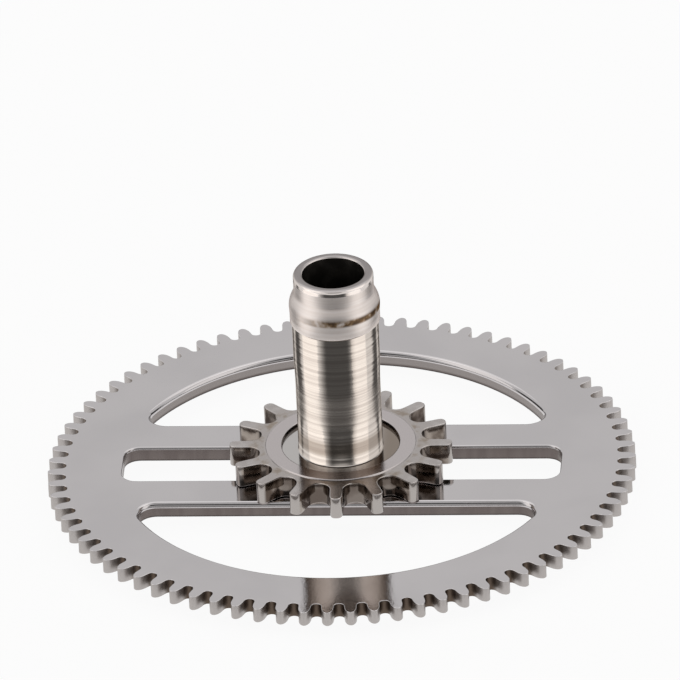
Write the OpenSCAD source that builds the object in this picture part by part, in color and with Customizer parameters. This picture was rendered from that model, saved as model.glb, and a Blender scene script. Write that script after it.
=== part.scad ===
// Minute driving wheel with its cannon: a hollow pipe whose foot carries a leaved pinion, and a
// thin toothed wheel whose two spring arms grip the pipe's neck below the pinion.
// All lengths are in millimetres. Z runs up the pipe and Z = 0 is the underside of its lip.

/* [Driving wheel] */
// Diameter over the tips of the wheel's teeth
wheel_tip_d = 6.6; // [6.2:0.1:7.4]
// Number of teeth on the wheel, an even number
wheel_teeth = 78; // [66:2:90]
// Depth of a wheel tooth from tip to gap bottom
wheel_tooth_depth = 0.205; // [0.18:0.005:0.22]
// Radius of the round bottom of a gap between the wheel's teeth
wheel_gap_r = 0.058; // [0.05:0.002:0.062]
// Angle at which each side of a wheel gap opens outwards
wheel_flare = 5; // [2:1:8]
// Length of the rounded tip of a wheel tooth, beyond its straight flank
wheel_round = 0.11; // [0.06:0.005:0.12]
// Half width of the rounded crest of a wheel tooth
wheel_crest = 0.034; // [0.02:0.002:0.05]
// Thickness of the wheel's sheet
wheel_t = 0.17; // [0.12:0.01:0.24]
// Radius of the arc of the two large windows
window_arc_r = 2.49; // [2.3:0.01:2.6]
// Corner radius of the windows
window_corner_r = 0.2; // [0.06:0.01:0.24]
// Width of each spring arm
arm_w = 0.525; // [0.44:0.005:0.62]
// Width of the slot between the two arms
slot_w = 0.72; // [0.6:0.01:0.84]
// Distance from the axis to each rounded end of the slot
slot_end_r = 2.46; // [2.2:0.01:2.6]
// Corner radius of the slot's ends
slot_corner_r = 0.18; // [0.06:0.01:0.28]

/* [Pinion] */
// Number of leaves, an even number
pinion_leaves = 16; // [12:2:18]
// Diameter over the tips of the leaves
pinion_tip_d = 2.5; // [2.3:0.01:2.7]
// Depth of a leaf from tip to gap bottom
leaf_depth = 0.33; // [0.25:0.005:0.34]
// Radius of the round bottom of a gap between leaves
leaf_gap_r = 0.13; // [0.1:0.005:0.14]
// Angle at which each side of a gap opens outwards
leaf_flare = 13; // [8:1:16]
// Length of the rounded tip of a leaf, beyond its straight flank
leaf_round = 0.085; // [0.05:0.005:0.18]
// Half width of the flat crest of a leaf
leaf_crest = 0.045; // [0.03:0.005:0.09]
// Height of the leaves
pinion_h = 0.265; // [0.2:0.005:0.6]
// Width of the turned chamfer on both ends of the leaves
leaf_chamfer = 0.01; // [0.01:0.005:0.05]
// Diameter of the plain ring on the pinion's top face
land_d = 1.67; // [1.5:0.01:1.8]
// Drop of the leaves' top face below the plain ring
land_step = 0.012; // [0.005:0.001:0.03]
// Chamfer on the top edge of the pinion's hole
hole_chamfer = 0.01; // [0.005:0.001:0.02]

/* [Foot, neck and lip] */
// Diameter of the pipe's foot, on which the pinion is pressed
foot_d = 1.326; // [1.26:0.002:1.4]
// Drop of the foot's top face below the pinion's plain ring
foot_drop = 0.05; // [0.02:0.005:0.1]
// Diameter of the neck that the arms grip
neck_d = 1.12; // [1.1:0.01:1.24]
// Diameter of the lip that keeps the wheel on the neck
lip_d = 1.36; // [1.3:0.01:1.5]
// Thickness of the lip
lip_t = 0.1; // [0.06:0.01:0.2]
// Chamfer on the lower edge of the lip, over which the arms snap
lip_chamfer = 0.04; // [0.01:0.01:0.05]

/* [Pipe] */
// Diameter of the hole through the pipe
bore_d = 0.7; // [0.6:0.01:0.76]
// Chamfer at both ends of the hole
bore_chamfer = 0.015; // [0.005:0.005:0.03]
// Diameter of the pipe just above its foot
stem_d = 0.95; // [0.9:0.01:1]
// Diameter of the pipe just below its bearing ring
pipe_d = 0.97; // [0.93:0.01:1]
// Diameter of the bearing ring near the top
ring_d = 1.01; // [1:0.005:1.06]
// Height of the bearing ring
ring_h = 0.19; // [0.1:0.01:0.3]
// How far the bearing ring swells out towards the shoulder
ring_swell = 0.005; // [0.001:0.001:0.01]
// Chamfer below the bearing ring
ring_chamfer = 0.012; // [0.005:0.001:0.02]
// Height of the rounded shoulder above the bearing ring
shoulder_h = 0.19; // [0.08:0.01:0.2]
// Diameter of the seat for the minute hand
seat_d = 0.9; // [0.84:0.01:0.96]
// Length of the seat for the minute hand
seat_h = 0.17; // [0.15:0.01:0.5]
// Radius of the rounded top edge of the pipe
top_round_r = 0.045; // [0.02:0.005:0.06]
// Height of the plain pipe between the pinion's top face and the bearing ring
stem_h = 1.6; // [1.55:0.05:3]
// Height above the pinion's top face where the stem begins to widen
taper_from = 0.8; // [0.3:0.05:0.9]
// Height over which the stem widens
taper_h = 0.4; // [0.1:0.05:0.6]

/* [Running fits] */
// Gap all round between the neck and the arms' round seats
neck_clearance = 0.012; // [0.01:0.002:0.03]
// Gap above and below the wheel on the neck
end_clearance = 0.01; // [0.01:0.002:0.03]

/* [Hidden] */

// Colours of nickelled steel
wheel_colour = [0.69, 0.67, 0.68];
pinion_colour = [0.66, 0.63, 0.62];
pipe_colour = [0.78, 0.72, 0.66];
// Facets of the round solids, and points on each curved stretch of a tooth gap
$fn = 96;
wheel_arc_steps = 3;
wheel_crest_steps = 3;
leaf_arc_steps = 5;
leaf_crest_steps = 5;
// How far a cutting solid runs past the face that it cuts
past = 0.1;

wheel_tip_r = wheel_tip_d / 2;
wheel_root_r = wheel_tip_r - wheel_tooth_depth;
arm_outer_y = slot_w / 2 + arm_w;
pinion_tip_r = pinion_tip_d / 2;
pinion_root_r = pinion_tip_r - leaf_depth;

// Heights of the faces, from the bottom up
wheel_z = lip_t + end_clearance;
pinion_z = wheel_z + wheel_t + end_clearance;
pinion_top_z = pinion_z + pinion_h;
foot_top_z = pinion_top_z - foot_drop;
ring_z = pinion_top_z + stem_h;
shoulder_z = ring_z + ring_h;
seat_z = shoulder_z + shoulder_h;
top_z = seat_z + seat_h + top_round_r;

// Angles from the X axis, along which the arms lie, to a leaf and to a wheel tooth
pinion_turn = 0.5;
wheel_turn = 2.7;

// Point of a cubic curve from a to d, with its control points b and c, at the share t of its length
function curve_point(a, b, c, d, t) =
    pow(1 - t, 3) * a + 3 * pow(1 - t, 2) * t * b + 3 * (1 - t) * t * t * c + pow(t, 3) * d;

function turned(p, angle) =
    [p[0] * cos(angle) - p[1] * sin(angle), p[0] * sin(angle) + p[1] * cos(angle)];

function flipped(points) =
    [for (i = [len(points) - 1:-1:0]) [points[i][0], -points[i][1]]];

// Left half of one gap, lying along X: a round bottom, a straight flank and a curved tooth tip
function half_gap(root_r, flank_r, tip_r, gap_r, flare, crest, count, arc_steps, crest_steps) =
    let (
        middle = root_r + gap_r,
        sweep = 90 - flare,
        bottom = [for (i = [0:arc_steps])
            [middle - gap_r * cos(sweep * i / arc_steps), gap_r * sin(sweep * i / arc_steps)]],
        flank_dir = [cos(flare), sin(flare)],
        flank_start = bottom[arc_steps],
        flank_run = max(flank_r - flank_start[0], 0.001) / flank_dir[0],
        flank_end = flank_start + flank_run * flank_dir,
        half_pitch = 180 / count,
        tip = tip_r * [cos(half_pitch), sin(half_pitch)],
        crest_dir = [sin(half_pitch), -cos(half_pitch)],
        lift = 0.6 * (tip_r - flank_r)
    )
    concat(bottom, [for (i = [0:crest_steps])
        curve_point(flank_end, flank_end + lift * flank_dir, tip + crest * crest_dir, tip,
            i / crest_steps)]);

// Whole outline of a toothed wheel, made of its gaps one after another
function toothed_outline(half, count) =
    let (
        last = len(half) - 1,
        right = flipped([for (i = [1:last - 1]) half[i]]),
        gap = concat(right, half)
    )
    [for (k = [0:count - 1]) for (p = gap) turned(p, (k + 0.5) * 360 / count)];

// One large window of the wheel, above the arms, with its two corners rounded
module window_outline() {
    centre_y = arm_outer_y + window_corner_r;
    centre_r = window_arc_r - window_corner_r;
    centre_x = sqrt(centre_r * centre_r - centre_y * centre_y);
    touch = window_arc_r / centre_r;
    difference() {
        circle(r = window_arc_r);
        translate([-2 * window_arc_r, -3 * window_arc_r + arm_outer_y])
            square([4 * window_arc_r, 3 * window_arc_r]);
        for (side = [-1, 1])
            polygon([
                [side * centre_x, arm_outer_y - past],
                [side * centre_x, centre_y],
                [side * centre_x * touch, centre_y * touch],
                [side * window_arc_r * 1.1, centre_y * touch],
                [side * window_arc_r * 1.1, arm_outer_y - past]
            ]);
    }
    for (side = [-1, 1])
        translate([side * centre_x, centre_y])
            circle(r = window_corner_r);
}

// The slot between the arms, with rounded corners at both ends
module slot_outline() {
    corner_x = slot_end_r - slot_corner_r;
    corner_y = slot_w / 2 - slot_corner_r;
    square([2 * corner_x, slot_w], center = true);
    square([2 * slot_end_r, 2 * corner_y], center = true);
    for (sx = [-1, 1], sy = [-1, 1])
        translate([sx * corner_x, sy * corner_y])
            circle(r = slot_corner_r);
}

// The stamped and toothed sheet, with round seats for the neck in both arms
module driving_wheel() {
    half = half_gap(wheel_root_r, wheel_tip_r - wheel_round, wheel_tip_r, wheel_gap_r, wheel_flare,
        wheel_crest, wheel_teeth, wheel_arc_steps, wheel_crest_steps);
    color(wheel_colour)
    translate([0, 0, wheel_z])
    difference() {
        linear_extrude(wheel_t)
            rotate(wheel_turn)
            polygon(toothed_outline(half, wheel_teeth));
        translate([0, 0, -past])
            linear_extrude(wheel_t + 2 * past)
            union() {
                window_outline();
                rotate(180)
                    window_outline();
                slot_outline();
            }
        translate([0, 0, -past])
            cylinder(r = neck_d / 2 + neck_clearance, h = wheel_t + 2 * past);
    }
}

// The turned ring that the leaves are cut from, with its hole, plain ring and chamfers
module pinion_blank() {
    low_z = pinion_top_z - land_step;
    rotate_extrude()
        polygon([
            [foot_d / 2, pinion_z],
            [pinion_tip_r - leaf_chamfer, pinion_z],
            [pinion_tip_r + past, pinion_z + leaf_chamfer + past],
            [pinion_tip_r + past, low_z - leaf_chamfer - past],
            [pinion_tip_r - leaf_chamfer, low_z],
            [land_d / 2 + land_step, low_z],
            [land_d / 2, pinion_top_z],
            [foot_d / 2 + hole_chamfer, pinion_top_z],
            [foot_d / 2, pinion_top_z - hole_chamfer]
        ]);
}

// Leaved ring that is pressed on the pipe's foot
module pinion() {
    half = half_gap(pinion_root_r, pinion_tip_r - leaf_round, pinion_tip_r, leaf_gap_r, leaf_flare,
        leaf_crest, pinion_leaves, leaf_arc_steps, leaf_crest_steps);
    color(pinion_colour)
    intersection() {
        pinion_blank();
        translate([0, 0, pinion_z - past])
            linear_extrude(pinion_h + 2 * past)
            rotate(pinion_turn)
            polygon(toothed_outline(half, pinion_leaves));
    }
}

// Section of the rounded shoulder between the bearing ring and the hand seat
function shoulder_points(steps) =
    let (
        swollen_r = ring_d / 2 + ring_swell,
        seat_r = seat_d / 2
    )
    [for (i = [0:steps])
        curve_point(
            [swollen_r, shoulder_z],
            [swollen_r, shoulder_z + shoulder_h / 2],
            [seat_r + (swollen_r - seat_r) / 5, seat_z - shoulder_h / 4],
            [seat_r, seat_z],
            i / steps)];

// Turned pipe, from its lip, neck and foot up to its stem, bearing ring, rounded shoulder and
// minute hand seat
module pipe() {
    color(pipe_colour)
    rotate_extrude()
        difference() {
            union() {
                polygon(concat(
                    [
                        [0, 0],
                        [lip_d / 2 - lip_chamfer, 0],
                        [lip_d / 2, lip_chamfer],
                        [lip_d / 2, lip_t],
                        [neck_d / 2, lip_t],
                        [neck_d / 2, pinion_z],
                        [foot_d / 2, pinion_z],
                        [foot_d / 2, foot_top_z],
                        [stem_d / 2, foot_top_z],
                        [stem_d / 2, pinion_top_z + taper_from],
                        [pipe_d / 2, pinion_top_z + taper_from + taper_h],
                        [pipe_d / 2, ring_z - ring_chamfer],
                        [ring_d / 2, ring_z],
                        [ring_d / 2, ring_z + ring_h / 2]
                    ],
                    shoulder_points(6),
                    [
                        [seat_d / 2, seat_z + seat_h],
                        [seat_d / 2 - top_round_r, seat_z + seat_h],
                        [seat_d / 2 - top_round_r, top_z],
                        [0, top_z]
                    ]
                ));
                translate([seat_d / 2 - top_round_r, top_z - top_round_r])
                    circle(r = top_round_r);
            }
            polygon([
                [-past, -past],
                [bore_d / 2 + bore_chamfer + past, -past],
                [bore_d / 2, bore_chamfer],
                [bore_d / 2, top_z - bore_chamfer],
                [bore_d / 2 + bore_chamfer + past, top_z + past],
                [-past, top_z + past]
            ]);
        }
}

driving_wheel();
pinion();
pipe();
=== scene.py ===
# %% [markdown]
# # A watch's minute driving wheel
# This part carries the minute hand of a watch. A thin toothed wheel is held by its two spring arms on
# the neck of a hollow pipe, a small leaved pinion is pressed on the pipe's foot, and the hand sits on
# top. The whole part is under 7 mm across, so the scene is a jeweller's view of nickelled steel.
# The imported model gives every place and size. It could be shown as it is, but its facets are coarse at
# this scale, so the three pieces are made again here with finer curves, broken edges and real finishes.

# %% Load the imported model
import math
import bmesh
import bpy
from mathutils import Matrix, Vector


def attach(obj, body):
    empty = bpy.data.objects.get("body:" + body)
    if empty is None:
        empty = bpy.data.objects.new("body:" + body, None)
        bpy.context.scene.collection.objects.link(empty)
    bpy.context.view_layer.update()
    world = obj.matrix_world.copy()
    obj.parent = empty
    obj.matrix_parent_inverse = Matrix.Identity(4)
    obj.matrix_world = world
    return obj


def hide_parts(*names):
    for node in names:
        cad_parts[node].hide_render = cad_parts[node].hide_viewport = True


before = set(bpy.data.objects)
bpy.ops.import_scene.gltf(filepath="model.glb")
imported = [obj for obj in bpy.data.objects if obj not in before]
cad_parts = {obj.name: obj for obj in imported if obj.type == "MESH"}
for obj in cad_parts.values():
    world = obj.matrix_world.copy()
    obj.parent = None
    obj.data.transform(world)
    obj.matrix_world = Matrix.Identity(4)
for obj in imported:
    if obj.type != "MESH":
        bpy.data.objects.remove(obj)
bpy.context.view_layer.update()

# %% [markdown]
# ## Working in millimetres
# Some of the mesh tools treat points that are closer than a few hundredths of a unit as one point. In
# metres the teeth are smaller than that, so each piece is made with one unit for one millimetre and is
# shrunk to metres when it is finished. Nobody clicks on faces in a script, so the helpers below select
# them by their place or their normal.

# %% Helpers for edit mode
MM = 0.001
SAME_POINT = 0.00002
SAME_LEVEL = 0.0001
NEAR = 0.0005


def nothing_selected():
    """Leaves edit mode and deselects every object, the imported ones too."""
    if bpy.context.mode != "OBJECT":
        bpy.ops.object.mode_set(mode="OBJECT")
    bpy.ops.object.select_all(action="DESELECT")


def edit(piece):
    """Opens one piece in edit mode."""
    nothing_selected()
    piece.select_set(True)
    bpy.context.view_layer.objects.active = piece
    bpy.ops.object.mode_set(mode="EDIT")
    bpy.ops.mesh.select_mode(type="VERT")


def pick(piece, kind, test):
    """Selects only the faces or the edges of a piece that pass a test, and returns how many."""
    bpy.ops.mesh.select_mode(type={"faces": "FACE", "edges": "EDGE"}[kind])
    bpy.ops.mesh.select_all(action="DESELECT")
    mesh = bmesh.from_edit_mesh(piece.data)
    found = [part for part in getattr(mesh, kind) if test(part)]
    for part in found:
        part.select_set(True)
    mesh.select_flush_mode()
    bmesh.update_edit_mesh(piece.data)
    return len(found)


def radius(point):
    """Distance of a point from the part's axis."""
    return math.hypot(point.x, point.y)


def level_at(edge, z):
    """Whether an edge lies flat at height z."""
    return all(abs(v.co.z - z) < SAME_LEVEL for v in edge.verts)


def merged():
    """Makes one point of points that lie on each other."""
    bpy.ops.mesh.select_all(action="SELECT")
    bpy.ops.mesh.remove_doubles(threshold=SAME_POINT)


print("edit helpers ready, 1 unit is", MM, "m")

# %% [markdown]
# ## Drawing an outline
# A toolmaker draws a profile point by point. A curve object could hold it too, but extruding a single
# point leaves plain edges behind, which can be spun or extruded straight away, and every point lies
# exactly where it was put.

# %% A chain of points
def start_chain(name, first):
    """A new object that holds a single selected point."""
    nothing_selected()
    bpy.ops.mesh.primitive_plane_add(size=0.01, location=(0, 0, 0))
    chain = bpy.context.object
    chain.name = name
    edit(chain)
    bpy.ops.mesh.select_all(action="SELECT")
    bpy.ops.mesh.merge(type="CENTER")
    bpy.ops.mesh.select_all(action="SELECT")
    bpy.ops.transform.translate(value=first)
    return chain


def draw_to(here, points):
    """Extrudes the selected point from here through a list of points."""
    for point in points:
        step = Vector(point) - Vector(here)
        bpy.ops.mesh.extrude_region_move(TRANSFORM_OT_translate={"value": step})
        here = point


print("chains of points ready")

# %% [markdown]
# ## The shape of a tooth space
# Watch teeth are cut by a thin cutter that leaves a round bottom, slightly opening flanks and a
# rounded tip. A gear tool would draw the flanks of a large machine's gear, which look too straight
# here. So half of one space is worked out by the same rule as in the part's drawing, and the teeth fall
# where the solid has them, with more points on the curves.

# %% Half a tooth space
def curve_point(a, b, c, d, t):
    """A point on a smooth curve from a to d that is pulled towards b and c."""
    return (1 - t) ** 3 * a + 3 * (1 - t) ** 2 * t * b + 3 * (1 - t) * t * t * c + t ** 3 * d


def half_space(root_r, flank_r, tip_r, gap_r, flare, crest, count, arc_steps, crest_steps):
    """Points from the bottom of a tooth space, which lies along X, to the middle of the next tip."""
    flare = math.radians(flare)
    sweep = math.pi / 2 - flare
    centre = root_r + gap_r
    points = []
    for i in range(arc_steps + 1):
        angle = sweep * i / arc_steps
        points.append(Vector((centre - gap_r * math.cos(angle), gap_r * math.sin(angle), 0)))
    along = Vector((math.cos(flare), math.sin(flare), 0))
    flank_end = points[-1] + along * (flank_r - points[-1].x) / along.x
    half = math.pi / count
    tip = Vector((math.cos(half), math.sin(half), 0)) * tip_r
    tip_line = Vector((math.sin(half), -math.cos(half), 0))
    lift = 0.6 * (tip_r - flank_r)
    for i in range(crest_steps + 1):
        points.append(curve_point(flank_end, flank_end + lift * along, tip + crest * tip_line, tip,
                                  i / crest_steps))
    return points


def turned(point, angle):
    """A point turned about the part's axis."""
    return Matrix.Rotation(angle, 3, "Z") @ Vector(point)


print("tooth rule ready")

# %% [markdown]
# ## One toothed sector
# What repeats is modelled once. The sector runs from a plain circle inside the teeth out to one whole
# tooth space, as a flat face. It could be repeated with an Array modifier, but spinning copies of it
# round the axis and merging them gives the same ring in one step, with every tooth the same.

# %% A ring of teeth
def toothed_ring(name, half, count, inner_r, inner_steps, turn, z):
    """A flat toothed ring in edit mode, from the circle of radius inner_r to the tooth outline."""
    pitch = 2 * math.pi / count
    centre_angle = turn + pitch / 2
    up = Vector((0, 0, z))
    right = [Vector((p.x, -p.y, 0)) for p in reversed(half)]
    outline = [turned(p, centre_angle) + up for p in right[:-1] + half]
    inner = [turned((inner_r, 0, 0), centre_angle + pitch * (0.5 - i / inner_steps)) + up
             for i in range(inner_steps + 1)]
    ring = start_chain(name, outline[0])
    draw_to(outline[0], outline[1:] + inner)
    bpy.ops.mesh.select_all(action="SELECT")
    bpy.ops.mesh.edge_face_add()
    bpy.ops.mesh.select_all(action="SELECT")
    bpy.ops.mesh.spin(steps=count, dupli=True, angle=2 * math.pi, center=(0, 0, 0), axis=(0, 0, 1))
    merged()
    faces = bmesh.from_edit_mesh(ring.data).faces
    print(name, "flat area in mm2:", round(sum(face.calc_area() for face in faces), 4))
    return ring


# %% [markdown]
# ## Sizes of the driving wheel
# The real wheel is pressed from sheet and then toothed. These are its sizes from the part's drawing, in
# millimetres and degrees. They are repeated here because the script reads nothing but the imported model.

# %% The wheel's sizes
WHEEL_TEETH = 78
WHEEL_TIP_R = 3.3
WHEEL_ROOT_R = 3.095
WHEEL_Z = 0.11
WHEEL_T = 0.17
WHEEL_TOP = WHEEL_Z + WHEEL_T
WHEEL_TURN = math.radians(2.7)
WINDOW_R = 2.49
WINDOW_CORNER = 0.2
ARM_INNER_Y = 0.36
ARM_OUTER_Y = 0.885
SLOT_END = 2.46
SLOT_CORNER = 0.18
SEAT_R = 0.572
BAND_R = 2.9

wheel_half = half_space(root_r=WHEEL_ROOT_R, flank_r=WHEEL_TIP_R - 0.11, tip_r=WHEEL_TIP_R,
                        gap_r=0.058, flare=5, crest=0.034, count=WHEEL_TEETH,
                        arc_steps=5, crest_steps=6)
print("points on half a tooth space:", len(wheel_half))

# %% [markdown]
# ## Plates with broken edges
# No real edge is perfectly sharp: a press tool or a tumbling barrel rolls it over, and the roll is what
# catches the light. A Bevel modifier could do it, but it folds over itself in the narrow tooth spaces.
# So a flat outline is extruded to a plate, and its upper and lower faces are inset in small steps that
# climb as they shrink. The circle where two plates will be joined is left open and isn't inset.

# %% Thickness and rolled edges
def on_circle(face, joint_r):
    """Whether a face stands on the joint circle."""
    return all(abs(radius(v.co) - joint_r) < 0.002 for v in face.verts)


def open_plate(piece, low, high, joint_r):
    """Extrudes the flat faces at height low up to high and takes the wall at the joint circle out."""
    bpy.ops.mesh.select_all(action="SELECT")
    bpy.ops.mesh.extrude_region_move(TRANSFORM_OT_translate={"value": (0, 0, high - low)})
    bpy.ops.mesh.select_all(action="SELECT")
    bpy.ops.mesh.normals_make_consistent(inside=False)
    taken = pick(piece, "faces", lambda f: abs(f.normal.z) < 0.5 and on_circle(f, joint_r))
    bpy.ops.mesh.delete(type="FACE")
    print(piece.name, "joint faces taken out:", taken)


def roll_edge(piece, z, up, size, steps):
    """Insets the flat faces at height z, and raises or lowers them, along a quarter circle."""
    sign = 1 if up else -1
    for i in range(steps):
        a, b = (math.pi / 2 * k / steps for k in (i, i + 1))
        pick(piece, "faces", lambda f: f.normal.z * sign > 0.9
             and abs(f.calc_center_median().z - z) < NEAR)
        inward = size * (math.cos(a) - math.cos(b))
        rise = size * (math.sin(b) - math.sin(a))
        bpy.ops.mesh.inset(thickness=inward, depth=rise, use_boundary=False, use_even_offset=True)
        z += sign * rise


print("plate helpers ready")

# %% [markdown]
# ## The teeth of the driving wheel
# The 78 teeth are cut through a ring of sheet. The cutter leaves crisp edges, so only a hair is
# broken off them: just enough for a thin line of light.

# %% Wheel rim with its teeth
RIM_STEPS = 4
TOOTH_BREAK = 0.005
wheel = toothed_ring("wheel_sheet", wheel_half, WHEEL_TEETH, BAND_R, RIM_STEPS, WHEEL_TURN,
                     WHEEL_Z + TOOTH_BREAK)
open_plate(wheel, WHEEL_Z + TOOTH_BREAK, WHEEL_TOP - TOOTH_BREAK, BAND_R)
roll_edge(wheel, WHEEL_TOP - TOOTH_BREAK, True, TOOTH_BREAK, 2)
roll_edge(wheel, WHEEL_Z + TOOTH_BREAK, False, TOOTH_BREAK, 1)
nothing_selected()
print("rim faces:", len(wheel.data.polygons))

# %% [markdown]
# ## The windows and the slot
# Two punches open the large windows above and below the arms, and a third opens the slot between
# them, with a round seat for the neck in its middle. They could be cut out with a Boolean modifier,
# but that leaves ragged faces along the rim. Here each outline is drawn as straight runs and arcs, and
# it can be drawn a little wider or higher than the last time.

# %% Outlines of the openings
def arc_to(centre_x, centre_y, z, degrees, steps):
    """Spins the selected point round a centre, and leaves an arc behind."""
    bpy.ops.mesh.spin(steps=steps, angle=math.radians(degrees), center=(centre_x, centre_y, z),
                      axis=(0, 0, -1))


def run_by(x, y):
    """Extrudes the selected point in a straight line."""
    bpy.ops.mesh.extrude_region_move(TRANSFORM_OT_translate={"value": (x, y, 0)})


def window_loop(wider, z):
    """One window's outline, moved into the metal by wider, at height z."""
    corner_y = ARM_OUTER_Y + WINDOW_CORNER
    corner_x = math.sqrt((WINDOW_R - WINDOW_CORNER) ** 2 - corner_y ** 2)
    rise = math.degrees(math.atan2(corner_y, corner_x))
    start = turned((WINDOW_R + wider, 0, 0), math.radians(rise)) + Vector((0, 0, z))
    loop = start_chain("window_wall", start)
    arc_to(0, 0, z, 180 - 2 * rise, steps=132)
    arc_to(-corner_x, corner_y, z, 90 + rise, steps=14)
    run_by(2 * corner_x, 0)
    arc_to(corner_x, corner_y, z, 90 + rise, steps=14)
    return loop


def slot_loop(wider, z):
    """The slot's outline with the round seats in its sides."""
    corner_x, corner_y = SLOT_END - SLOT_CORNER, ARM_INNER_Y - SLOT_CORNER
    side_y = ARM_INNER_Y + wider
    seat_x = math.sqrt((SEAT_R + wider) ** 2 - side_y ** 2)
    rise = math.degrees(math.atan2(side_y, seat_x))
    loop = start_chain("slot_wall", (SLOT_END + wider, -corner_y, z))
    for way in (1, -1):
        run_by(0, way * 2 * corner_y)
        arc_to(way * corner_x, way * corner_y, z, 90, steps=10)
        run_by(way * (seat_x - corner_x), 0)
        arc_to(0, 0, z, 180 - 2 * rise, steps=24)
        run_by(way * (seat_x - corner_x), 0)
        arc_to(-way * corner_x, way * corner_y, z, 90, steps=10)
    return loop


print("window and slot outlines ready")

# %% [markdown]
# ## Walls of the openings
# The press rolls the upper edge over: more at the windows, where the waste is wide, than at the slot.
# Underneath it leaves a fine burr. So an outline is drawn once for each step of the roll, a little
# wider and higher, and the steps are bridged into one smooth wall.

# %% Bridged walls
WINDOW_ROLL = 0.055
SLOT_ROLL = 0.025
BURR = 0.008


def joined(pieces, name):
    """Makes one object of several."""
    nothing_selected()
    for piece in pieces:
        piece.select_set(True)
    bpy.context.view_layer.objects.active = pieces[0]
    bpy.ops.object.join()
    pieces[0].name = name
    return pieces[0]


def rolled_wall(draw_loop, roll, steps, name):
    """The wall of an opening, from the burr up over the rolled edge."""
    levels = [(BURR, WHEEL_Z), (0, WHEEL_Z + BURR)]
    for i in range(steps + 1):
        angle = math.pi / 2 * i / steps
        levels.append((roll * (1 - math.cos(angle)), WHEEL_TOP - roll * (1 - math.sin(angle))))
    wall = joined([draw_loop(wider, z) for wider, z in levels], name)
    edit(wall)
    merged()
    heights = [z for wider, z in levels]
    for low, high in zip(heights, heights[1:]):
        pick(wall, "edges", lambda e: level_at(e, low) or level_at(e, high))
        bpy.ops.mesh.bridge_edge_loops()
    nothing_selected()
    print(name, "faces:", len(wall.data.polygons), "points:", len(wall.data.vertices))
    return wall


top_window = rolled_wall(window_loop, WINDOW_ROLL, 7, "window_wall")
slot = rolled_wall(slot_loop, SLOT_ROLL, 5, "slot_wall")

# %% [markdown]
# ## The wheel's inner plate
# The second window is a turned copy of the first. A circle inside the teeth and the three openings
# then bound the flat upper and lower faces. Filling between these outlines gives plain flat sheet, and
# merging the points on the circle joins it to the teeth without a seam.

# %% The second window and the joint circles
nothing_selected()
top_window.select_set(True)
bpy.context.view_layer.objects.active = top_window
bpy.ops.object.duplicate()
low_window = bpy.context.object
edit(low_window)
bpy.ops.mesh.select_all(action="SELECT")
bpy.ops.transform.rotate(value=math.pi, orient_axis="Z", center_override=(0, 0, 0))
nothing_selected()


def band_circle(z):
    """A circle at height z whose points meet those of the toothed ring."""
    nothing_selected()
    bpy.ops.mesh.primitive_circle_add(vertices=WHEEL_TEETH * RIM_STEPS, radius=BAND_R,
                                      fill_type="NOTHING", location=(0, 0, 0))
    band = bpy.context.object
    edit(band)
    mesh = bmesh.from_edit_mesh(band.data)
    first = min((v.co for v in mesh.verts), key=lambda p: abs(math.atan2(p.y, p.x)))
    turn = WHEEL_TURN - math.atan2(first.y, first.x)
    nothing_selected()
    band.data.transform(Matrix.Translation((0, 0, z)) @ Matrix.Rotation(turn, 4, "Z"))
    return band


plate = joined([band_circle(WHEEL_Z), band_circle(WHEEL_TOP), top_window, low_window, slot],
               "wheel_plate")
print("points round the plate:", len(plate.data.vertices))

# %% Filled plate, joined to the teeth
edit(plate)
for z in (WHEEL_Z, WHEEL_TOP):
    pick(plate, "edges", lambda e: level_at(e, z))
    bpy.ops.mesh.fill(use_beauty=True)
print("plate faces:", len(bmesh.from_edit_mesh(plate.data).faces))
wheel = joined([wheel, plate], "wheel_sheet")
edit(wheel)
merged()
bpy.ops.mesh.normals_make_consistent(inside=False)
open_edges = pick(wheel, "edges", lambda e: not e.is_manifold)
nothing_selected()
print("open edges left in the wheel:", open_edges, "faces:", len(wheel.data.polygons))

# %% [markdown]
# ## Finishing a piece
# Each finished piece is shrunk to metres with its origin at the part's own origin. Smooth shading up to
# a limit angle keeps the rolled edges soft. It would also bend the light at the rims of the flat faces,
# so these are marked sharp, and the faces mirror as truly as lapped steel does.

# %% Finish in metres
SMOOTH_UP_TO = math.radians(40)
FLAT = 0.9995


def finish_piece(piece):
    nothing_selected()
    piece.select_set(True)
    bpy.context.view_layer.objects.active = piece
    piece.data.transform(Matrix.Scale(MM, 4))
    bpy.ops.object.shade_smooth_by_angle(angle=SMOOTH_UP_TO)
    edit(piece)
    pick(piece, "edges", lambda e: len({abs(f.normal.z) > FLAT for f in e.link_faces}) == 2)
    bpy.ops.mesh.mark_sharp()
    nothing_selected()
    size = [round(side / MM, 3) for side in piece.dimensions]
    print(piece.name, "size in mm:", size, "faces:", len(piece.data.polygons))


finish_piece(wheel)

# %% [markdown]
# ## The pinion's leaves
# The pinion is a ring with 16 leaves, pressed on the pipe's foot. Its leaves are cut like the wheel's
# teeth but wider, so the same rule and the same steps make them. Their edges are broken a little more,
# because leaves are polished on a wooden disc that rounds them.

# %% The pinion's sizes and leaves
PINION_LEAVES = 16
PINION_TIP_R = 1.25
PINION_ROOT_R = 0.92
PINION_Z = 0.29
PINION_TOP = 0.555
PINION_TURN = math.radians(0.5)
LAND_R = 0.835
LAND_STEP = 0.012
FOOT_R = 0.663
LEAF_BREAK = 0.01
LEAF_TOP = PINION_TOP - LAND_STEP

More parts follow.
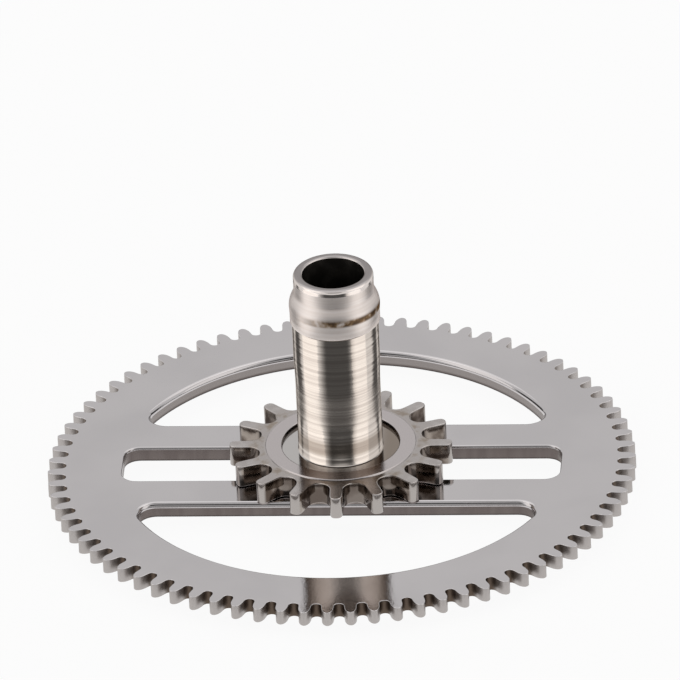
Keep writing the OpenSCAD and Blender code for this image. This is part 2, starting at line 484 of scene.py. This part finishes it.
leaf_half = half_space(root_r=PINION_ROOT_R, flank_r=PINION_TIP_R - 0.085, tip_r=PINION_TIP_R,
                       gap_r=0.13, flare=13, crest=0.045, count=PINION_LEAVES,
                       arc_steps=8, crest_steps=10)
inner_r = LAND_R + LAND_STEP
pinion = toothed_ring("pinion_leaves", leaf_half, PINION_LEAVES, inner_r, 12, PINION_TURN,
                      PINION_Z + LEAF_BREAK)
open_plate(pinion, PINION_Z + LEAF_BREAK, LEAF_TOP - LEAF_BREAK, inner_r)
roll_edge(pinion, LEAF_TOP - LEAF_BREAK, True, LEAF_BREAK, 2)
roll_edge(pinion, PINION_Z + LEAF_BREAK, False, LEAF_BREAK, 2)

# %% [markdown]
# ## The pinion's turned middle
# A plain ring stands a hair above the leaves, and the hole has a small chamfer. Both are turned on the
# real pinion. The open circle inside the leaves is extruded inwards step by step, up the small step to
# the plain ring, over the chamfer, down the hole and out again underneath, so one closed skin results.

# %% Turned ring and hole
def draw_ring(r, z, steps):
    """Extrudes the selected circle of radius r at height z through a list of radii and heights."""
    for next_r, next_z in steps:
        bpy.ops.mesh.extrude_region_move(TRANSFORM_OT_translate={"value": (0, 0, next_z - z)})
        scale = next_r / r
        bpy.ops.transform.resize(value=(scale, scale, 1), center_override=(0, 0, 0))
        r, z = next_r, next_z


pick(pinion, "edges", lambda e: e.is_boundary and all(
    abs(radius(v.co) - inner_r) < NEAR and abs(v.co.z - LEAF_TOP) < NEAR for v in e.verts))
draw_ring(inner_r, LEAF_TOP, [
    (LAND_R + 0.004, PINION_TOP - 0.002),
    (LAND_R - 0.002, PINION_TOP),
    (FOOT_R + 0.012, PINION_TOP),
    (FOOT_R + 0.004, PINION_TOP - 0.003),
    (FOOT_R, PINION_TOP - 0.01),
    (FOOT_R, PINION_Z),
    (inner_r, PINION_Z)])
merged()
bpy.ops.mesh.normals_make_consistent(inside=False)
open_edges = pick(pinion, "edges", lambda e: not e.is_manifold)
nothing_selected()
print("open edges left in the pinion:", open_edges)
finish_piece(pinion)

# %% [markdown]
# ## The pipe's profile
# The pipe is turned from bar: lip, neck and foot at the bottom, then the long stem, the bearing ring,
# a rounded shoulder and the seat for the minute hand. Stacked cylinders would leave hidden faces
# inside, so one profile is drawn round the whole section of the metal, with the corners broken as a
# turner breaks them. Each pair is a distance from the axis and a height.

# %% Profile of the pipe
BORE_R = 0.35
LIP_R = 0.68
LIP_T = 0.1
NECK_R = 0.56
FOOT_TOP = 0.505
STEM_R = 0.475
PIPE_R = 0.485
RING_R = 0.505
SWOLLEN_R = 0.51
SEAT_PIN_R = 0.45
RING_Z = 2.155
SHOULDER_Z = 2.345
SEAT_Z = 2.535
TOP_Z = 2.75
TOP_ROUND = 0.045
SHOULDER_STEPS = 16


def arc(centre_r, centre_z, size, start, end, steps):
    """Points on an arc from one angle to another."""
    angles = [math.radians(start + (end - start) * i / steps) for i in range(steps + 1)]
    return [(centre_r + size * math.cos(a), centre_z + size * math.sin(a)) for a in angles]


shoulder = [curve_point(Vector((SWOLLEN_R, SHOULDER_Z)), Vector((SWOLLEN_R, SHOULDER_Z + 0.095)),
                        Vector((SEAT_PIN_R + 0.012, SEAT_Z - 0.0475)),
                        Vector((SEAT_PIN_R, SEAT_Z)), i / SHOULDER_STEPS)
            for i in range(SHOULDER_STEPS + 1)]
lip = [(BORE_R + 0.015, 0.0), (0.63, 0.0), (0.65, 0.012), (0.668, 0.028), (LIP_R, 0.045),
       (LIP_R, 0.094), (0.674, LIP_T)]
neck_and_foot = [(NECK_R, LIP_T), (NECK_R, PINION_Z), (0.655, PINION_Z),
                 (FOOT_R, PINION_Z + 0.008), (FOOT_R, 0.498), (0.656, FOOT_TOP)]
stem = [(STEM_R + 0.012, FOOT_TOP), (STEM_R + 0.004, 0.509), (STEM_R, 0.52), (STEM_R, 1.3),
        (0.4755, 1.4), (0.4775, 1.48), (0.4825, 1.62), (0.4845, 1.7), (PIPE_R, 1.8)]
bearing = [(PIPE_R, RING_Z - 0.014), (PIPE_R + 0.012, RING_Z - 0.006),
           (RING_R - 0.003, RING_Z - 0.001), (RING_R, RING_Z + 0.004), (RING_R, RING_Z + 0.095)]
top_round = arc(SEAT_PIN_R - TOP_ROUND, TOP_Z - TOP_ROUND, TOP_ROUND, 0, 90, 10)
bore = [(BORE_R + 0.022, TOP_Z - 0.001), (BORE_R + 0.01, TOP_Z - 0.006), (BORE_R, TOP_Z - 0.02),
        (BORE_R, 0.015)]
profile = lip + neck_and_foot + stem + bearing + [tuple(p) for p in shoulder] + top_round + bore
print("points in the pipe's profile:", len(profile))

# %% [markdown]
# ## Spinning the pipe
# A lathe turns the metal against a still tool. Here the profile goes round instead, in 192 steps, so
# that even the mirrored stripes on the stem show no corners.

# %% Spin the pipe
points = [(r, 0, z) for r, z in profile]
pipe = start_chain("turned_pipe", points[0])
draw_to(points[0], points[1:] + points[:1])
merged()
bpy.ops.mesh.select_all(action="SELECT")
bpy.ops.mesh.spin(steps=192, angle=2 * math.pi, center=(0, 0, 0), axis=(0, 0, 1))
merged()
bpy.ops.mesh.normals_make_consistent(inside=False)
open_edges = pick(pipe, "edges", lambda e: not e.is_manifold)
nothing_selected()
print("open edges left in the pipe:", open_edges)
finish_piece(pipe)

# %% [markdown]
# ## Shader maths in plain expressions
# A finish is a formula over the surface. Its nodes could be placed and linked one by one, but the
# formula is hard to read then. This small class wraps a socket, so that a formula is written with the
# usual signs, and each sign adds its Math node.

# %% Sockets with operators
class Value:
    def __init__(self, tree, socket):
        self.tree = tree
        self.socket = socket

    def math(self, operation, *others):
        node = self.tree.nodes.new("ShaderNodeMath")
        node.operation = operation
        for place, given in enumerate((self,) + others):
            if isinstance(given, Value):
                self.tree.links.new(given.socket, node.inputs[place])
            else:
                node.inputs[place].default_value = given
        return Value(self.tree, node.outputs[0])

    def flipped(self, operation, other):
        """The same operation with the plain number first."""
        node = self.tree.nodes.new("ShaderNodeMath")
        node.operation = operation
        node.inputs[0].default_value = other
        self.tree.links.new(self.socket, node.inputs[1])
        return Value(self.tree, node.outputs[0])

    def __add__(self, other):
        return self.math("ADD", other)

    def __radd__(self, other):
        return self.flipped("ADD", other)

    def __sub__(self, other):
        return self.math("SUBTRACT", other)

    def __rsub__(self, other):
        return self.flipped("SUBTRACT", other)

    def __mul__(self, other):
        return self.math("MULTIPLY", other)

    def __rmul__(self, other):
        return self.flipped("MULTIPLY", other)

    def __truediv__(self, other):
        return self.math("DIVIDE", other)

    def __rtruediv__(self, other):
        return self.flipped("DIVIDE", other)

    def between(self, low, high):
        """0 below low, 1 above high, and a smooth step between them."""
        node = self.tree.nodes.new("ShaderNodeMapRange")
        node.interpolation_type = "SMOOTHSTEP"
        self.tree.links.new(self.socket, node.inputs["Value"])
        node.inputs["From Min"].default_value = low
        node.inputs["From Max"].default_value = high
        return Value(self.tree, node.outputs["Result"])

    def band(self, start, full, fading, gone):
        """1 from full to fading, and 0 before start and after gone."""
        return self.between(start, full) * (1 - self.between(fading, gone))


print("sockets can be added, subtracted, multiplied and divided")

# %% [markdown]
# ## Nodes by one call
# Noise, mapping and bump nodes have no sign of their own. One method adds a node by its type, then sets
# its settings and its inputs. An input is given by its name, or as i0, i1 and so on where several have
# the same name. Colours get their own method, because a Math node would turn them grey.

# %% A tree of nodes
class Finish:
    """A material or world tree in which a node is added by its type, its settings and its inputs."""

    def __init__(self, tree):
        self.tree = tree
        tree.nodes.clear()

    def give(self, socket, given):
        """Links a value to a socket, or sets the socket to a plain number, colour or vector."""
        if isinstance(given, Value):
            self.tree.links.new(given.socket, socket)
        else:
            socket.default_value = given

    def node(self, kind, settings=None, output=0, **inputs):
        node = self.tree.nodes.new("ShaderNode" + kind)
        for name, setting in (settings or {}).items():
            setattr(node, name, setting)
        for name, given in inputs.items():
            numbered = name[0] == "i" and name[1:].isdigit()
            self.give(node.inputs[int(name[1:]) if numbered else name.replace("_", " ")], given)
        return Value(self.tree, node.outputs[output])

    def mix(self, share, one, other):
        """A colour between two colours. 6, 7 and 2 are the Mix node's sockets for colours."""
        node = self.tree.nodes.new("ShaderNodeMix")
        node.data_type = "RGBA"
        for place, given in ((0, share), (6, one), (7, other)):
            self.give(node.inputs[place], given)
        return Value(self.tree, node.outputs[2])

    def end(self, kind, shader, socket):
        """The output node, which a shader is linked to."""
        output = self.tree.nodes.new("ShaderNodeOutput" + kind)
        self.tree.links.new(shader.outputs[0], output.inputs[socket])


print("shader helpers ready")

# %% [markdown]
# ## Metal surfaces
# Nickelled steel mirrors its surroundings, so its finish lives in three things: the colour of the
# mirror, how rough it is, and the fine relief that tools leave. A picture could be wrapped round the
# part, but a pattern that reads the place itself has no seams. Places are read in millimetres from the
# part's own origin.

# %% Base of every finish
def new_finish(name):
    material = bpy.data.materials.new(name)
    material.use_nodes = True
    return material, Finish(material.node_tree)


def spot_of(finish):
    """Place on the part in millimetres."""
    return finish.node("Mapping", Vector=finish.node("TexCoord", output="Object"),
                       Scale=(1 / MM, 1 / MM, 1 / MM))


def along_axis(finish, spot, axis):
    """One coordinate of a place. Z is the height above the part's underside."""
    return finish.node("SeparateXYZ", output=axis, Vector=spot)


def from_axis(finish, spot):
    """Distance of a place from the part's axis."""
    flat_spot = finish.node("Mapping", Vector=spot, Scale=(1, 1, 0))
    return finish.node("VectorMath", {"operation": "LENGTH"}, output="Value", i0=flat_spot)


def surface(material, finish, colour, roughness, normal=None, **constants):
    shader = finish.tree.nodes.new("ShaderNodeBsdfPrincipled")
    shader.inputs["Metallic"].default_value = 1.0
    finish.give(shader.inputs["Base Color"], colour)
    finish.give(shader.inputs["Roughness"], roughness)
    if normal is not None:
        finish.give(shader.inputs["Normal"], normal)
    for name, given in constants.items():
        shader.inputs[name.replace("_", " ")].default_value = given
    finish.end("Material", shader, "Surface")
    print("made", material.name, "with", len(finish.tree.nodes), "nodes")


print("places are read in units of", MM, "m")

# %% [markdown]
# ## Finish of the wheel's sheet
# The sheet is lapped flat and nickelled: almost a mirror, with a fine satin that only shows close up
# and a very slight unevenness in its tone. A single grey would look like plastic, so a broad noise
# moves the tone and a fine one moves the gloss and the relief.

# %% Sheet finish
SHEET_DEEP = (0.57, 0.545, 0.55, 1)
SHEET_PALE = (0.605, 0.578, 0.582, 1)

sheet_metal, finish = new_finish("lapped_nickel")
spot = spot_of(finish)
fine = finish.node("TexNoise", Vector=spot, Scale=38.0, Detail=4.0, Roughness=0.6)
broad = finish.node("TexNoise", Vector=spot, Scale=1.1, Detail=2.0, Roughness=0.5)
tone = finish.mix(broad.between(0.3, 0.7), SHEET_DEEP, SHEET_PALE)
relief = finish.node("Bump", Strength=0.04, Distance=0.00001, Height=fine)
surface(sheet_metal, finish, tone, 0.03 + fine * 0.04, relief)

# %% [markdown]
# ## Finish of cut edges
# The walls that the punches made are duller, browner and darker than the lapped faces, and painted shade
# darkens them most along their bottom edge, above the burr. The long curved walls of the windows are
# paler than the straight ones. Between the teeth the walls are painted dark brown towards the roots as
# shade, and paler at the tips. Each of these could be a finish of its own, but one finish that knows a
# place by its height and its distance from the axis gives soft borders between them.

# %% Cut edge finish
WALL_DEEP = (0.155, 0.130, 0.124, 1)
WALL_PALE = (0.185, 0.158, 0.150, 1)
# Painted shade along the bottom edge of the walls.
WALL_FOOT_SHADE = (0.05, 0.042, 0.04, 1)
CURVED_WALL = (0.30, 0.272, 0.262, 1)
# Painted shade in the roots of the tooth spaces.
TOOTH_ROOT_SHADE = (0.12, 0.09, 0.07, 1)
TOOTH_TIP_TONE = (0.46, 0.43, 0.415, 1)

edge_metal, finish = new_finish("cut_edge")
spot = spot_of(finish)
height = along_axis(finish, spot, "Z")
across = from_axis(finish, spot)
marks = finish.node("TexNoise", Vector=finish.node("Mapping", Vector=spot, Scale=(9, 9, 2)),
                    Scale=1.0, Detail=2.0)
wall = finish.mix(marks.between(0.3, 0.7), WALL_DEEP, WALL_PALE)
# Painted shade: the walls darken towards their bottom edge.
wall = finish.mix(height.between(WHEEL_Z + 0.004, WHEEL_Z + 0.03), WALL_FOOT_SHADE, wall)
curved = across.between(WINDOW_R - 0.08, WINDOW_R - 0.01)
wall = finish.mix(curved * height.between(WHEEL_Z + 0.02, WHEEL_Z + 0.05), wall, CURVED_WALL)
# Painted shade: dark brown towards the roots of the tooth spaces, paler at the tips.
space = finish.mix(across.between(WHEEL_ROOT_R + 0.01, WHEEL_ROOT_R + 0.10), TOOTH_ROOT_SHADE, TOOTH_TIP_TONE)
tone = finish.mix(across.between(BAND_R, BAND_R + 0.1), wall, space)
surface(edge_metal, finish, tone, 0.34 + marks * 0.08)

# %% [markdown]
# ## Finish of the pinion's top
# The leaves are polished after cutting. The plain ring round the hole is brightest, and a little brown
# is left towards the roots of the leaves, where the polishing disc doesn't reach. The brown comes and
# goes with a noise, because an even ring of it would look painted.

# %% Finish of the leaves' tops
LEAF_DEEP = (0.45, 0.412, 0.397, 1)
LEAF_PALE = (0.52, 0.485, 0.47, 1)
LEAF_STAIN = (0.33, 0.275, 0.23, 1)
LAND_TONE = (0.545, 0.50, 0.495, 1)

leaf_metal, finish = new_finish("polished_leaves")
spot = spot_of(finish)
across = from_axis(finish, spot)
grain = finish.node("TexNoise", Vector=spot, Scale=7.0, Detail=3.0, Roughness=0.6)
clean = finish.mix(grain.between(0.35, 0.65), LEAF_DEEP, LEAF_PALE)
stained = finish.mix(grain.between(0.4, 0.7), clean, LEAF_STAIN)
tone = finish.mix(across.band(0.84, 0.88, 0.96, 1.08), clean, stained)
tone = finish.mix(across.between(0.835, 0.85), LAND_TONE, tone)
relief = finish.node("Bump", Strength=0.05, Distance=0.00001, Height=grain)
surface(leaf_metal, finish, tone, 0.10 + grain * 0.10, relief)

# %% [markdown]
# ## Finish of the leaves' walls
# The walls of the leaves are polished too, and they mirror each other. In the spaces between them they
# are painted patchy dark brown as shade, darkest towards the roots. Only the outer faces of the leaves
# are paler.

# %% Finish of the leaves' walls
# Painted shade towards the roots of the spaces between the leaves.
ROOT_SHADE_DEEP = (0.13, 0.105, 0.09, 1)
ROOT_SHADE_PALE = (0.21, 0.18, 0.16, 1)
# Painted shade, patchy, on the walls between the leaves.
FLANK_SHADE_DEEP = (0.10, 0.075, 0.06, 1)
FLANK_SHADE_PALE = (0.34, 0.295, 0.26, 1)
CREST_TONE = (0.42, 0.39, 0.37, 1)

flank_metal, finish = new_finish("leaf_flanks")
spot = spot_of(finish)
across = from_axis(finish, spot)
grain = finish.node("TexNoise", Vector=spot, Scale=6.0, Detail=2.0)
# Painted shade: the walls between the leaves are patchy dark brown, darkest at the roots.
root_shade = finish.mix(grain.between(0.35, 0.65), ROOT_SHADE_DEEP, ROOT_SHADE_PALE)
flank_shade = finish.mix(grain.between(0.35, 0.65), FLANK_SHADE_DEEP, FLANK_SHADE_PALE)
tone = finish.mix(across.between(0.96, 1.02), root_shade, flank_shade)
tone = finish.mix(across.between(1.19, 1.23), tone, CREST_TONE)
surface(flank_metal, finish, tone, 0.10 + grain * 0.10)

# %% [markdown]
# ## Relief of the pipe
# The stem keeps its turning marks: fine rings whose flanks lean upwards like a very fine thread, so it
# mirrors the lamps and a dark patch of the room in upright stripes. The rings are far too fine to
# model, and a Bump node would lean them down as much as up. So the normal itself is leaned upwards, a
# little more and a little less from ring to ring. The middle of the stem is worn, and there the rings
# are flatter and duller. The bearing ring and the hand seat are satin, with a bright band along the
# rounded top edge.

# %% Relief and gloss of the pipe
STEM_START = (0.50, 0.51)
HEAD_START = (RING_Z - 0.02, RING_Z)
WORN_PART = (0.92, 1.06, 1.3, 1.5)
BRIGHT_EDGE = (2.665, 2.68)

pipe_metal, finish = new_finish("turned_steel")
spot = spot_of(finish)
height = along_axis(finish, spot, "Z")
rings = finish.node("TexNoise", Vector=finish.node("Mapping", Vector=spot, Scale=(0.4, 0.4, 30)),
                    Scale=1.0, Detail=3.0)
on_stem = height.band(*STEM_START, *HEAD_START)
on_head = height.between(*HEAD_START)
worn = height.band(*WORN_PART)
bright_top = height.between(*BRIGHT_EDGE)
lean = on_stem * (0.76 + rings * 0.20 - worn * 0.07) + on_head * (0.6 + bright_top * 0.3)
upright = finish.node("CombineXYZ", X=0.0, Y=0.0, Z=lean)
leaning = finish.node("VectorMath", {"operation": "ADD"}, output="Vector",
                      i0=finish.node("NewGeometry", output="Normal"), i1=upright)
leaning = finish.node("VectorMath", {"operation": "NORMALIZE"}, output="Vector", i0=leaning)
dullness = 0.07 + rings * 0.06 + worn * 0.12 + on_head * (1 - bright_top) * 0.27
print("nodes in the pipe's relief:", len(finish.tree.nodes))

# %% [markdown]
# ## Colour of the pipe
# The steel changes its tone from ring to ring. The foot's flat top is pale on one side and painted darker
# on the other as shade, a brown band of painted shade lies low on the stem, and a trace of dried residue
# sits in the bend under the hand seat, on one side only. Each of these is mixed over the last one, from
# the plain metal upwards.

# %% Colour of the pipe
STEM_DEEP = (0.69, 0.615, 0.56, 1)
STEM_PALE = (0.88, 0.80, 0.73, 1)
HEAD_DEEP = (0.84, 0.76, 0.715, 1)
HEAD_PALE = (0.92, 0.85, 0.815, 1)
FOOT_PALE = (0.66, 0.635, 0.62, 1)
# Painted shade on one side of the foot.
FOOT_SHADE = (0.36, 0.31, 0.27, 1)
# Painted shade in a band low on the stem.
STEM_SHADE = (0.25, 0.19, 0.145, 1)
TOP_FACE_TONE = (0.43, 0.40, 0.395, 1)
RESIDUE_PALE = (0.36, 0.23, 0.12, 1)
RESIDUE_DARK = (0.13, 0.085, 0.055, 1)
GLANCING_TINT = (0.12, 0.10, 0.09, 1)

stem_tone = finish.mix(rings.between(0.35, 0.65), STEM_DEEP, STEM_PALE)
head_tone = finish.mix(rings.between(0.3, 0.7), HEAD_DEEP, HEAD_PALE)
east = along_axis(finish, spot, "X")
# Painted shade: the foot is darker on its +X side.
foot_tone = finish.mix(east.between(0.2, 0.55), FOOT_PALE, FOOT_SHADE)
# Painted shade: a brown band darkens the stem just above the pinion.
low_stem_shade = height.band(0.60, 0.66, 0.76, 0.84)
stem_tone = finish.mix(low_stem_shade * 0.6, stem_tone, STEM_SHADE)
stem_tone = finish.mix(height.between(0.506, 0.515), foot_tone, stem_tone)
tone = finish.mix(on_head, stem_tone, head_tone)
tone = finish.mix(height.between(2.725, 2.745), tone, TOP_FACE_TONE)
crust = finish.node("TexNoise", Vector=spot, Scale=9.0, Detail=3.0)
residue = height.band(2.30, 2.335, 2.375, 2.41) * east.between(-0.5, 0.0)
rust = finish.mix(crust.between(0.40, 0.62), RESIDUE_PALE, RESIDUE_DARK)
tone = finish.mix(residue * crust.between(0.28, 0.52), tone, rust)
surface(pipe_metal, finish, tone, dullness, leaning, Specular_Tint=GLANCING_TINT)

# %% [markdown]
# ## Finish of the bore
# The hole is left as drilled, so it is dull, and it is painted nearly black as shade inside the hole.
# That also hides the mirror image of the floor that a polished hole would show.

# %% Bore finish
# Painted shade inside the hole.
BORE_SHADE_DEEP = (0.02, 0.018, 0.016, 1)
BORE_SHADE_PALE = (0.05, 0.045, 0.04, 1)

shaded_bore_metal, finish = new_finish("shaded_bore")
# Painted shade: the bore is nearly black all over.
bore_shade_mottle = finish.node("TexNoise", Vector=spot_of(finish), Scale=5.0, Detail=2.0)
surface(shaded_bore_metal, finish, finish.mix(bore_shade_mottle.between(0.3, 0.7), BORE_SHADE_DEEP, BORE_SHADE_PALE), 0.5)

# %% [markdown]
# ## Giving the pieces their finishes
# Each piece has a first finish for its worked faces and a second for the rest: the wheel's cut walls,
# the leaves' walls and the inside of the pipe. The faces are told apart by their normal or place, so
# nothing has to be picked by hand.

# %% Dress the pieces
def dress(piece, *materials):
    piece.data.materials.clear()
    for material in materials:
        piece.data.materials.append(material)


def second_finish_where(piece, test):
    """Gives the second finish to the faces that pass a test."""
    for face in piece.data.polygons:
        face.material_index = 1 if test(face) else 0
    second = sum(face.material_index for face in piece.data.polygons)
    print(piece.name, "faces with the second finish:", second, "of", len(piece.data.polygons))


dress(wheel, sheet_metal, edge_metal)
second_finish_where(wheel, lambda face: -0.9 < face.normal.z < 0.1)
dress(pinion, leaf_metal, flank_metal)
second_finish_where(pinion, lambda face: abs(face.normal.z) < 0.3)
dress(pipe, pipe_metal, shaded_bore_metal)
second_finish_where(pipe, lambda face: radius(face.center / MM) < BORE_R + 0.004)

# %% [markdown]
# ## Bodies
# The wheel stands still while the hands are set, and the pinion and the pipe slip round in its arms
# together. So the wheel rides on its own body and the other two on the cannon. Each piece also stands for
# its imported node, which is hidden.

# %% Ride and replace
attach(wheel, "wheel")
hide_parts("driving_wheel")
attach(pinion, "cannon")
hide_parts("pinion")
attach(pipe, "cannon")
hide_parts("pipe")
print("pieces on bodies:", {"wheel": wheel.name, "cannon": [pinion.name, pipe.name]})

# %% [markdown]
# ## The camera
# The photograph looks down at 30 degrees through a very long lens. The picture's centre lies above the
# wheel, so the camera is aimed a little higher than the part, and it is rolled a little. A lens shift
# would frame it too, but the other views keep the shift, so the aim does it instead.

# %% Camera
PICTURE = 680
PIXELS_PER_MM = 89.2
DISTANCE = 0.2712
ELEVATION = math.radians(30.19)
AZIMUTH = math.radians(4.58)
ROLL = math.radians(2.62)
AXIS_PIXEL = (341.67, 463.1)
SENSOR = 36

ahead = Vector((-math.sin(AZIMUTH), math.cos(AZIMUTH), 0))
right = Vector((math.cos(AZIMUTH), math.sin(AZIMUTH), 0))
forward = ahead * math.cos(ELEVATION) - Vector((0, 0, math.sin(ELEVATION)))
upward = right.cross(forward)
target = Vector((0, 0, WHEEL_TOP * MM))
eye = target - forward * DISTANCE
side = right * math.cos(ROLL) - upward * math.sin(ROLL)
top = upward * math.cos(ROLL) + right * math.sin(ROLL)
x_off, y_off = ((pixel - PICTURE / 2) / PIXELS_PER_MM * MM for pixel in AXIS_PIXEL)
aim = (target - side * x_off + top * y_off - eye).normalized()
side = (side - aim * side.dot(aim)).normalized()
top = side.cross(aim)

lens = bpy.data.cameras.new("camera")
camera = bpy.data.objects.new("camera", lens)
bpy.context.scene.collection.objects.link(camera)
camera.matrix_world = Matrix.Translation(eye) @ Matrix((side, top, -aim)).transposed().to_4x4()
lens.sensor_width = SENSOR
lens.lens = PIXELS_PER_MM * DISTANCE / MM / PICTURE * SENSOR
lens.clip_start, lens.clip_end = 0.01, 20
bpy.context.scene.camera = camera
print("lens in mm:", round(lens.lens, 1))

# %% [markdown]
# ## The floor
# The part stands on plain pale paper. Brighter lamps could make it white, but they would bleach the
# part as well. So the paper glows a little for the camera and for mirror images, and its plain share
# keeps the part's shadow.

# %% Floor
FLOOR_R = 3
PAPER = (0.90, 0.90, 0.90, 1)
GLOW_SHARE = 0.92

nothing_selected()
bpy.ops.mesh.primitive_circle_add(vertices=64, radius=FLOOR_R, fill_type="NGON", location=(0, 0, 0))
floor = bpy.context.object
floor.name = "floor"
floor_paint, finish = new_finish("pale_floor")
paper = finish.tree.nodes.new("ShaderNodeBsdfDiffuse")
paper.inputs["Color"].default_value = PAPER
glow = finish.tree.nodes.new("ShaderNodeEmission")
glow.inputs["Strength"].default_value = 1.0
seen = finish.node("LightPath", output="Is Camera Ray")
for ray in ("Is Glossy Ray", "Is Transmission Ray"):
    seen = seen.math("MAXIMUM", finish.node("LightPath", output=ray))
blend = finish.tree.nodes.new("ShaderNodeMixShader")
finish.give(blend.inputs["Fac"], seen * GLOW_SHARE)
finish.tree.links.new(paper.outputs[0], blend.inputs[1])
finish.tree.links.new(glow.outputs[0], blend.inputs[2])
finish.end("Material", blend, "Surface")
dress(floor, floor_paint)
print("floor radius in m:", FLOOR_R)

# %% [markdown]
# ## Soft lamps
# Polished metal shows its lamps, so their places are part of the finish. One on each side draws the
# bright stripes on the stem. One high behind and two high at the rear sides draw the rolled edges, and
# the stripes of the stem's image in the wheel's front rim. They are large and weak, so that the flat
# top of the wheel doesn't turn white from any side.

# %% Lamps
LAMP_DISTANCE = 0.12
WARM = (1.0, 0.95, 0.89)
WHITE = (1.0, 1.0, 1.0)


def soft_light(name, azimuth, elevation, wide, tall, power, colour):
    """An area light that faces the part. Azimuth 0 is the camera's side, and 90 the picture's right."""
    lamp = bpy.data.lights.new(name, "AREA")
    lamp.shape = "RECTANGLE"
    lamp.size, lamp.size_y = wide, tall
    lamp.energy = power
    lamp.color = colour
    a, e = math.radians(azimuth), math.radians(elevation)
    flat = right * math.sin(a) - ahead * math.cos(a)
    towards = flat * math.cos(e) + Vector((0, 0, math.sin(e)))
    holder = bpy.data.objects.new(name, lamp)
    holder.location = towards * LAMP_DISTANCE
    holder.rotation_mode = "QUATERNION"
    holder.rotation_quaternion = towards.to_track_quat("Z", "Y")
    bpy.context.scene.collection.objects.link(holder)
    print(name, "in mW:", round(power * 1000, 1))


soft_light("left_light", azimuth=-81, elevation=30, wide=0.073, tall=0.130, power=0.0118,
           colour=WARM)
soft_light("right_light", azimuth=68, elevation=33, wide=0.068, tall=0.120, power=0.0088,
           colour=WARM)
soft_light("top_light", azimuth=180, elevation=60, wide=0.110, tall=0.070, power=0.0077,
           colour=WHITE)
soft_light("left_back_light", azimuth=-122, elevation=60, wide=0.048, tall=0.058, power=0.0034,
           colour=WARM)
soft_light("right_back_light", azimuth=122, elevation=60, wide=0.048, tall=0.058, power=0.0033,
           colour=WARM)

# %% [markdown]
# ## The room
# What isn't lamp is room, and the metal mirrors it too. A picture of a studio could be wrapped round
# the scene, but a few soft zones on a plain grey are enough. The camera's side is dimmer, with a dark
# patch high up on it that gives the stem its dark middle. A dark band runs along the floor and a dark
# zone stands low at each rear side, which darken the walls and the stem's edges. It is dimmer straight
# overhead too. In each formula z is the height of a direction, from 0 at the floor to 1 overhead, and
# facing is 1 towards the camera's side and -1 away from it.

# %% Directions in the room
world = bpy.data.worlds.new("studio")
bpy.context.scene.world = world
world.use_nodes = True
finish = Finish(world.node_tree)
direction = finish.node("TexCoord", output=0)
x, y, z = (finish.node("SeparateXYZ", output=axis, Vector=direction) for axis in "XYZ")
to_camera = x * -ahead.x + y * -ahead.y
flat = (1 - z * z).math("MAXIMUM", 0.0001).math("SQRT")
facing = to_camera / flat
print("camera's side points to:", [round(v, 3) for v in -ahead])

# %% Light of the room
ROOM_LIGHT = 0.74

front = facing.between(0.5, 0.7) * z.band(0.03, 0.08, 0.86, 0.93)
high_patch = facing.between(0.6, 0.85) * z.between(0.56, 0.64)
low_band = z.band(0.02, 0.05, 0.12, 0.18)
rear_sides = facing.band(-0.62, -0.52, -0.2, -0.1) * (1 - z.between(0.36, 0.44))
overhead = z.between(0.975, 0.99)
light = ROOM_LIGHT * (1 - 0.40 * front)
for share, zone in ((0.84, front * high_patch), (0.80, low_band), (0.88, rear_sides),
                    (0.45, overhead)):
    light = light * (1 - share * zone)
background = finish.tree.nodes.new("ShaderNodeBackground")
finish.give(background.inputs["Color"], finish.mix(light, (0, 0, 0, 1), (1, 1, 1, 1)))
finish.end("World", background, "Surface")
bpy.context.scene.view_settings.view_transform = "Standard"
print("nodes in the room:", len(finish.tree.nodes))
